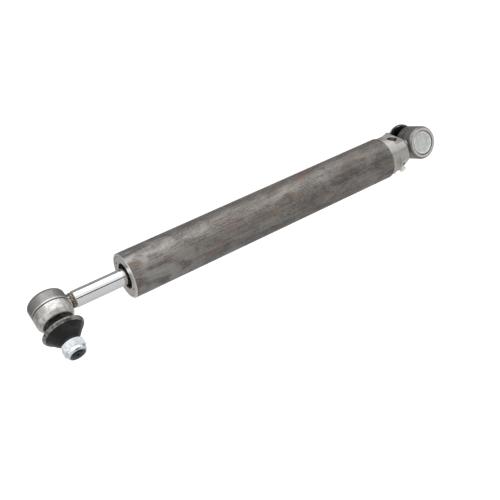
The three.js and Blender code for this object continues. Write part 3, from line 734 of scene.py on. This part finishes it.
def build_weld():
    """A weld bead laid in overlapping ripples round the end of the rod."""
    start, end, inner, outer = extent("rod_weld")
    ripples = 34

    def ripple(t, angle):
        lean = (t - start) / (end - start)
        fade = math.sin(math.pi * min(max(lean, 0), 1))
        return 0.988 + 0.012 * math.cos(ripples * angle + 2.4 * lean) * fade

    bead = lathe("weld_bead", [
        (start, inner), (start, 8.5 * MM, 0.4 * MM), (start + 0.9 * MM, outer, 0.6 * MM),
        (start + 1.5 * MM, outer), (end - 1.5 * MM, outer, 0.6 * MM), (end, 8.4 * MM, 0.3 * MM), (end, inner),
    ], 2 * FINE, ripple)
    bead.data.materials.append(weld_metal())
    return stands_for(bead, "rod_weld")


# ---------------------------------------------------------------- ball joints
def head_outline(side):
    start, end, _, _ = extent(f"{side}_joint_head", PLACE[side])
    outer = 22 * MM
    plate_fit = 16.4 * MM
    seat = 14.3 * MM
    ledge = -12 * MM
    cut = 0.1 * MM
    return [
        (start, plate_fit, 0.2 * MM), (start, 19.4 * MM, 0.4 * MM), (start + 1.6 * MM, 21.2 * MM, 0.8 * MM),
        (start + 3.4 * MM, outer, 1.2 * MM), (GROOVE_T - 0.7 * MM, outer, cut),
        (GROOVE_T - 0.3 * MM, outer - 0.9 * MM, cut), (GROOVE_T + 0.3 * MM, outer - 0.9 * MM, cut),
        (GROOVE_T + 0.7 * MM, outer, cut), (end - 5.4 * MM, outer, 5 * MM),
        (end - 0.9 * MM, 19.4 * MM, 1.2 * MM), (end, 18.4 * MM, 0.3 * MM), (end, MOUTH_R, 0.2 * MM),
        *arc(seat, 50, 90), (ledge, seat), (ledge, plate_fit),
    ]


def neck(name, radius, start, end):
    """A shank that flares into the head with a soft fillet."""
    flare = 1.2 * MM
    drawn = lathe(name, [
        (start, 0), (start, radius + flare), (start + 2 * MM, radius + flare, 1 * MM),
        (start + 4 * MM, radius, 2 * MM), (end - 0.5 * MM, radius, 0.3 * MM),
        (end, radius - 0.5 * MM), (end, 0),
    ], MEDIUM)
    drawn.data.transform(Matrix.Rotation(math.pi / 2, 4, "Z"))
    return drawn


def head_face(side):
    """Which finish a face of a head has: skin, cut rim or grease in the mouth."""
    start, end, _, _ = extent(f"{side}_joint_head", PLACE[side])

    def chosen(centre, normal):
        r = math.hypot(centre.y, centre.z)
        if r < MOUTH_R + 0.1 * MM and centre.x > start + 2 * MM:
            return 2
        if centre.x < start + 0.4 * MM or centre.x > end - 0.4 * MM:
            return 1
        return 0

    return chosen


def build_head(side, neck_r, neck_end, ground_dark, ground_light):
    ring = lathe(f"{side}_head", head_outline(side), FINE)
    boolean(ring, "UNION", neck("shank", neck_r, 17.5 * MM, neck_end))
    skin = forged_steel(f"{side}_head_steel", ground_dark, ground_light)
    grease = grease_and_shade(f"{side}_grease", (0.035, 0.029, 0.023), (0.33, 0.29, 0.23))
    face_materials(ring, head_face(side), skin, bright_edge(), grease)
    return stands_for(ring, f"{side}_joint_head", PLACE[side])


def build_closing_plate(side):
    """A pressed plate: a flat disc inside a raised rim, which the head's lip holds."""
    start, end, _, outer = extent(f"{side}_closing_plate", PLACE[side])
    edge = 0.15 * MM
    disc = start + 0.45 * MM
    plate = lathe(f"{side}_plate", [
        (end, 0), (end, outer), (disc, outer, edge), (disc, 15.3 * MM, edge), (start, 15 * MM, 0.3 * MM),
        (start, 13.6 * MM, 0.3 * MM), (disc, 12.9 * MM, 0.2 * MM), (disc, 6.2 * MM, 0.3 * MM),
        (disc + 0.25 * MM, 5.6 * MM, 0.3 * MM), (disc + 0.25 * MM, 0),
    ], MEDIUM)
    # The plate's outer edge, in the gap under the head's lip, is painted dark: painted shade.
    edge_shade = plated("plate_edge_painted_shade", (0.07, 0.07, 0.066), (0.16, 0.16, 0.15), 0.45, 2200)
    # The raised rim gets paler zinc than the disc: a painted highlight on the one plated finish.
    rim = plated("plate_rim_painted_highlight", (0.60, 0.62, 0.59), (0.80, 0.82, 0.79), 0.24, 2200)
    disc_zinc = plated("pale_zinc_plate", (0.52, 0.545, 0.52), (0.70, 0.72, 0.69), 0.32, 2200)

    def finish(centre, normal):
        r = math.hypot(centre.y, centre.z)
        return 0 if r > 15.4 * MM else 1 if r > 12.9 * MM else 2

    face_materials(plate, finish, edge_shade, rim, disc_zinc)
    return stands_for(plate, f"{side}_closing_plate", PLACE[side])


def build_outer_shell(side):
    shell = lathe(f"{side}_shell", [*arc(12.3 * MM, 52, 84), *arc(14 * MM, 84, 52)], MEDIUM)
    shell.data.materials.append(polymer("greased_acetal", (0.10, 0.09, 0.06), (0.34, 0.32, 0.26), 0.3))
    return stands_for(shell, f"{side}_outer_shell", PLACE[side])


def build_stud(side):
    """Ball, tapered neck and thread. The thread is drawn as rings."""
    start, end, _, _ = extent(f"{side}_ball_stud", PLACE[side])
    thread_r, depth, pitch = 7.8 * MM, 0.55 * MM, 1.5 * MM
    outline = [
        *arc(-start, 180, 33, 24), (15.5 * MM, 6.5 * MM, 2 * MM), (21.5 * MM, 8.6 * MM, 1 * MM),
        (24 * MM, 9 * MM), (43 * MM, 8.05 * MM), (44.2 * MM, thread_r - depth),
    ]
    point_r, thread_end = 5.6 * MM, end - 2.4 * MM
    turns = int((thread_end - 45 * MM) / pitch)
    for turn in range(turns):
        root = 45 * MM + turn * pitch
        outline += [(root, thread_r - depth), (root + 0.6 * pitch, thread_r), (root + 0.75 * pitch, thread_r)]
    outline += [
        (thread_end, thread_r - depth), (thread_end + 0.3 * MM, point_r), (end - 0.5 * MM, point_r),
        (end, point_r - 0.5 * MM), (end, 2.6 * MM), (end - 1.5 * MM, 1.6 * MM), (end - 1.5 * MM, 0),
    ]
    stud = lathe(f"{side}_stud", outline, MEDIUM)
    # The point past the thread is painted near black: painted shade for the stud's point inside the nylon ring.
    face_materials(
        stud, lambda centre, normal: 1 if centre.x > thread_end else 0,
        turned_steel("stud_steel", (0.20, 0.20, 0.20), (0.40, 0.39, 0.38), 0.3),
        turned_steel("point_painted_shade", (0.012, 0.012, 0.013), (0.045, 0.045, 0.05), 0.2),
    )
    return stands_for(stud, f"{side}_ball_stud", PLACE[side])


def build_boot(side):
    """A moulded cone with a rolled lip, a slight waist and a bead at its narrow end."""
    start, end, _, _ = extent(f"{side}_boot", PLACE[side])
    soft = 0.8 * MM
    boot = lathe(f"{side}_rubber_boot", [
        (start, 20.8 * MM, 0.3 * MM), (start, 22.4 * MM, 0.3 * MM), (start + 4.9 * MM, 21.4 * MM, 1 * MM),
        (start + 11 * MM, 16.4 * MM, 9 * MM), (end - 2.4 * MM, 11.2 * MM, 2 * MM),
        (end - 1.2 * MM, 11.3 * MM, 0.5 * MM), (end, 10.8 * MM, 0.5 * MM), (end, 8.6 * MM, 0.2 * MM),
        (end - 4.2 * MM, 8.6 * MM, 0.3 * MM), (end - 5.4 * MM, 10.2 * MM, soft),
        (start + 2 * MM, 19.4 * MM, soft),
    ], FINE)
    boot.data.materials.append(rubber("boot_rubber", (0.006, 0.006, 0.006), (0.020, 0.019, 0.018)))
    return stands_for(boot, f"{side}_boot", PLACE[side])


def build_boot_ring(side):
    """A rounded steel band on the boot's lip."""
    start, end, inner, outer = extent(f"{side}_boot_ring", PLACE[side])
    ring = lathe(f"{side}_lip_ring", [
        (start, 22.8 * MM, 0.2 * MM), (start, outer - 0.5 * MM, 0.5 * MM),
        (start + 0.5 * MM, outer, 0.5 * MM), (start + 1.8 * MM, outer - 0.1 * MM, 1 * MM),
        (end, inner + 0.6 * MM, 0.3 * MM),
        (end, inner + 0.1 * MM, 0.1 * MM),
    ], FINE)
    ring.data.materials.append(plated("dark_band", (0.06, 0.06, 0.058), (0.30, 0.295, 0.28), 0.3, 1300))
    return stands_for(ring, f"{side}_boot_ring", PLACE[side])


def build_lock_nut(side):
    """Hexagon with its corners chamfered, and a rolled collar over the nylon ring."""
    start, end, bore, corner = extent(f"{side}_lock_nut", PLACE[side])
    hex_end = start + 9.7 * MM
    flats = corner * math.sqrt(3) / 2
    turns = [math.radians(60 * i) for i in range(6)]
    corners = [(corner * math.cos(turn), corner * math.sin(turn)) for turn in turns]
    nut = prism(f"{side}_nut", corners, start, hex_end)
    nut.data.transform(Matrix.Rotation(math.radians(90), 4, "X"))
    drop = 1.1 * MM
    chamfered = lathe("chamfer", [
        (start - MM, 0), (start - MM, flats - 1.2 * MM), (start, flats - 0.1 * MM),
        (start + drop, corner + 0.1 * MM), (hex_end - drop, corner + 0.1 * MM),
        (hex_end, flats - 0.1 * MM), (hex_end + MM, flats - 1.2 * MM), (hex_end + MM, 0),
    ], MEDIUM)
    collar = lathe("collar", [
        (hex_end - 3 * MM, 0), (hex_end - 3 * MM, 11.6 * MM), (hex_end + 0.4 * MM, 11.6 * MM, 0.3 * MM),
        (end - 1.9 * MM, 11.4 * MM, 1 * MM), (end, 10.2 * MM, 0.5 * MM), (end, 0),
    ], MEDIUM)
    bore_tool = lathe("bore", [
        (start - MM, 0), (start - MM, bore + 1.2 * MM), (start + 0.8 * MM, bore), (hex_end + 1 * MM, bore),
        (hex_end + 1 * MM, 10.1 * MM), (end - 0.9 * MM, 10.1 * MM), (end - 0.9 * MM, 9.1 * MM),
        (end + MM, 9.1 * MM), (end + MM, 0),
    ], MEDIUM)
    boolean(nut, "INTERSECT", chamfered)
    boolean(nut, "UNION", collar)
    boolean(nut, "DIFFERENCE", bore_tool)
    softened(nut, 0.22 * MM, 25)
    nut.data.materials.append(plated("bright_zinc", (0.56, 0.59, 0.63), (0.76, 0.79, 0.83), 0.12, 1500))
    return stands_for(nut, f"{side}_lock_nut", PLACE[side])


def build_nylon_ring(side):
    """A nylon ring that bites on the thread and closes in round the stud's point."""
    start, end, inner, outer = extent(f"{side}_nut_nylon_ring", PLACE[side])
    edge = 0.3 * MM
    grip = inner + 0.1 * MM
    face, step = end + 0.6 * MM, end + 0.3 * MM
    ring = lathe(f"{side}_nylon", [
        (start, grip, edge), (start, outer, edge), (end, outer, edge), (face, 9 * MM, edge),
        (face, 6.2 * MM, edge), (step, 6 * MM, edge), (step, grip, edge),
    ], MEDIUM)
    ring.data.materials.append(polymer("blue_nylon", (0.005, 0.007, 0.024), (0.014, 0.02, 0.07), 0.3))
    return stands_for(ring, f"{side}_nut_nylon_ring", PLACE[side])


# ---------------------------------------------------------------- carried-over inner pieces
def finish_inner_nodes():
    """A procedural finish for every CAD node that is still shown."""
    metals = ("brushed_steel", "chrome", "brass", "aluminium")
    made = {}
    for material in record["materials"]:
        values = tuple(material["base_color"])
        made[material["slot"]] = (values, 0.9 if material["class"] in metals else 0.0)
    built = {}
    for name, node in frame["nodes"].items():
        if node.hide_render:
            continue
        slot = SLOT_OF[name]
        if slot not in built:
            built[slot] = carried_over(slot, *made[slot])
        node.data.materials.clear()
        node.data.materials.append(built[slot])


# ---------------------------------------------------------------- camera, floor and light
def aimed(obj, location, target, roll=0.0):
    """Turns a camera or light to look at a target, leaning to its own right by a roll."""
    back = (Vector(location) - Vector(target)).normalized()
    right = Vector((0, 0, 1)).cross(back).normalized()
    up = back.cross(right)
    leaned = up * math.cos(roll) + right * math.sin(roll)
    side = leaned.cross(back)
    obj.matrix_world = Matrix.Translation(location) @ Matrix((side, leaned, back)).transposed().to_4x4()


def build_camera():
    target = Vector((0.280, -0.016, -0.042))
    distance, around, elevation = 1.05, math.radians(63.3), math.radians(17.3)
    back = Vector((
        math.cos(elevation) * math.cos(around), math.cos(elevation) * math.sin(around), math.sin(elevation),
    ))
    camera = bpy.data.objects.new("camera", bpy.data.cameras.new("camera"))
    bpy.context.scene.collection.objects.link(camera)
    camera.data.lens = 60.8
    camera.data.sensor_width = 36
    camera.data.clip_start = 0.01
    aimed(camera, target + back * distance, target, math.radians(17.1))
    bpy.context.scene.camera = camera


def stage_plane(name, location, width, height, target=None):
    """A plane of the studio, which isn't part of the object."""
    mesh = bpy.data.meshes.new(name)
    half_w, half_h = width / 2, height / 2
    corners = [(-half_w, -half_h, 0), (half_w, -half_h, 0), (half_w, half_h, 0), (-half_w, half_h, 0)]
    mesh.from_pydata(corners, [], [(0, 1, 2, 3)])
    plane = bpy.data.objects.new(name, mesh)
    bpy.context.scene.collection.objects.link(plane)
    plane.location = location
    if target is not None:
        aimed(plane, location, target)
    return plane


def matt(name, dark, light):
    """A plain matt studio surface."""
    m = Shader(name, metallic=0.0)
    nap = m.noise(m.around((4, 4, 4)), detail=3)
    return m.done(m.mix(nap, dark, light), 0.9, m.bump(nap, 0.1 * MM))


def build_floor():
    drop = 0.16
    floor = stage_plane("floor", (0.27, 0, cad_low.z - drop), 60, 60)
    floor.data.materials.append(matt("floor_white", (0.93, 0.93, 0.93), (0.95, 0.95, 0.95)))


def build_card(name, location, width, height, target, grey):
    """A card that is seen only in reflections."""
    card = stage_plane(name, location, width, height, target)
    card.data.materials.append(matt(f"{name}_grey", (0.9 * grey,) * 3, (grey,) * 3))
    card.visible_camera = False
    card.visible_shadow = False
    card.visible_diffuse = False


def build_light(name, location, target, size, power):
    light = bpy.data.lights.new(name, "AREA")
    light.shape = "RECTANGLE"
    light.size, light.size_y = size
    light.energy = power
    lamp = bpy.data.objects.new(name, light)
    bpy.context.scene.collection.objects.link(lamp)
    aimed(lamp, location, target)


def build_studio():
    """A white tent, two soft boxes, and cards that give the bright metal something darker to reflect."""
    middle = (0.27, 0, 0)
    world = bpy.data.worlds.new("studio")
    world.use_nodes = True
    world.node_tree.nodes["Background"].inputs["Color"].default_value = (1, 1, 1, 1)
    world.node_tree.nodes["Background"].inputs["Strength"].default_value = 1.1
    bpy.context.scene.world = world
    build_light("overhead", (0.3, 0.35, 1.3), middle, (2.0, 1.2), 12)
    build_light("camera_side", (1.3, 1.1, 0.9), middle, (0.45, 0.45), 4)
    build_card("dark_card", (0.1, 1.9, 0.34), 4.0, 0.5, (0.1, 0, 0.34), 0.04)
    build_card("rear_card", (0.27, -0.9, 1.2), 5.0, 3.0, (0.27, 0, 1.2), 0.26)
    build_card("low_card", (0.27, 0, cad_low.z - 0.15), 5.0, 5.0, None, 0.52)
    bpy.context.scene.view_settings.view_transform = "Standard"


# ---------------------------------------------------------------- the whole
build_camera()
build_floor()
build_studio()

build_tube()
build_end_cap()
build_port_plug()
build_gland()
build_snap_ring()
build_wiper()
build_rod()
build_weld()

rod_neck_end = JOINT["rod_joint_spin"]["pos_m"][0] - extent("rod_weld")[1] - 0.3 * MM
base_neck_end = CAP_START - 0.3 * MM
# Both heads are the same forging with one finish: the rod head's pale ground colours are painted light, and the
# base head's dark ones are painted shade.
build_head("rod", 8.9 * MM, rod_neck_end, (0.34, 0.33, 0.315), (0.58, 0.57, 0.55))
build_head("base", 10.5 * MM, base_neck_end, (0.075, 0.073, 0.07), (0.19, 0.185, 0.18))
for side in ("base", "rod"):
    build_closing_plate(side)
    build_outer_shell(side)
    build_stud(side)
    build_boot(side)
    build_boot_ring(side)
    build_lock_nut(side)
    build_nylon_ring(side)
finish_inner_nodes()
